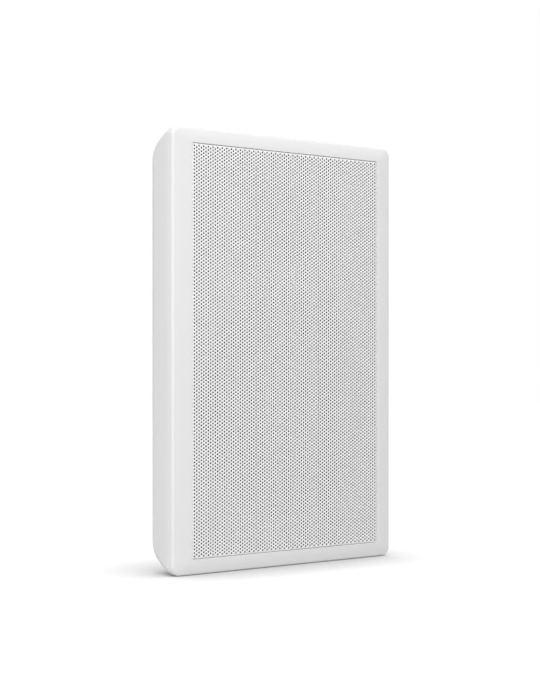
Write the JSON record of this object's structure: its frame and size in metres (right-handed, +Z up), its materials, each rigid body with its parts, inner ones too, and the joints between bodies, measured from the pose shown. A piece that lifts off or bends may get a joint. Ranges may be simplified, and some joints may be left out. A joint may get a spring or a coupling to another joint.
{
  "type": "wall-mounted loudspeaker",
  "caption": "Flat two-way wall speaker: tapered white plastic cabinet with a bevelled front frame and a perforated steel grille, keyhole-hung, with woofer, tweeter and port behind it.",
  "frame": {"origin": "on the wall plane, level with the middle of the cabinet's height and width", "axes": "the wall is the plane Y = 0, the front faces -Y, +X is to the right seen from the front, +Z is up"},
  "size_m": [0.2176, 0.044, 0.3206],
  "materials": {
    "white_plastic": "moulded, fine satin grain",
    "white_steel": "powder coated, satin",
    "black_steel": "black coated",
    "plain_steel": "zinc plated",
    "ferrite": "matt sintered",
    "black_rubber": "matt",
    "grey_rubber": "matt",
    "gasket_foam": "closed-cell foam",
    "damping_foam": "open-cell foam",
    "cone_paper": "black pulp",
    "cap_plastic": "satin grey",
    "spider_cloth": "resin-dipped cloth",
    "dome_cloth": "coated silk",
    "former_board": "heat-proof tube",
    "copper": "enamelled copper",
    "brass": "plain brass",
    "tinned_tag": "tinned brass on board",
    "black_plastic": "fine texture",
    "port_plastic": "satin",
    "board": "solder-masked glass laminate",
    "film_yellow": "tape-wrapped film",
    "white_ceramic": "matt cement",
    "wire_red": "insulation",
    "wire_blue": "insulation",
    "wire_green": "insulation"
  },
  "bodies": {
    "cabinet": {"front_baffle": "white_plastic", "rear_cabinet": "white_plastic", "cabinet_gasket": "gasket_foam", "cabinet_screws": "plain_steel", "wall_pads": "grey_rubber", "grille": "white_steel", "port_tube": "port_plastic", "woofer_basket": "black_steel", "woofer_gasket": "gasket_foam", "woofer_surround": "black_rubber", "woofer_spider": "spider_cloth", "woofer_top_plate": "plain_steel", "woofer_magnet": "ferrite", "woofer_yoke": "plain_steel", "woofer_terminals": "tinned_tag", "woofer_tinsel_leads": "copper", "woofer_screws": "black_steel", "tweeter_faceplate": "black_plastic", "tweeter_dome": "dome_cloth", "tweeter_voice_coil": "copper", "tweeter_top_plate": "plain_steel", "tweeter_magnet": "ferrite", "tweeter_yoke": "plain_steel", "tweeter_terminals": "tinned_tag", "tweeter_screws": "black_steel", "crossover_board": "board", "crossover_capacitors": "film_yellow", "crossover_inductors": "copper", "crossover_resistor": "white_ceramic", "crossover_screws": "plain_steel", "terminal_block": "black_plastic", "terminal_clamps": "brass", "terminal_screws": "plain_steel", "damping_foam": "damping_foam", "input_wires": "wire_red", "woofer_wires": "wire_blue", "tweeter_wires": "wire_green"},
    "cone": {"woofer_cone": "cone_paper", "woofer_dust_cap": "cap_plastic", "woofer_coil_former": "former_board", "woofer_voice_coil": "copper"}
  },
  "joints": [
    {"name": "cone_travel", "type": "slide", "parent": "cabinet", "child": "cone", "axis": [0, -1, 0], "range_m": [-0.0025, 0.0025], "stiffness_N_per_m": 1200, "deforming": ["woofer_surround", "woofer_spider", "woofer_tinsel_leads"]}
  ]
}
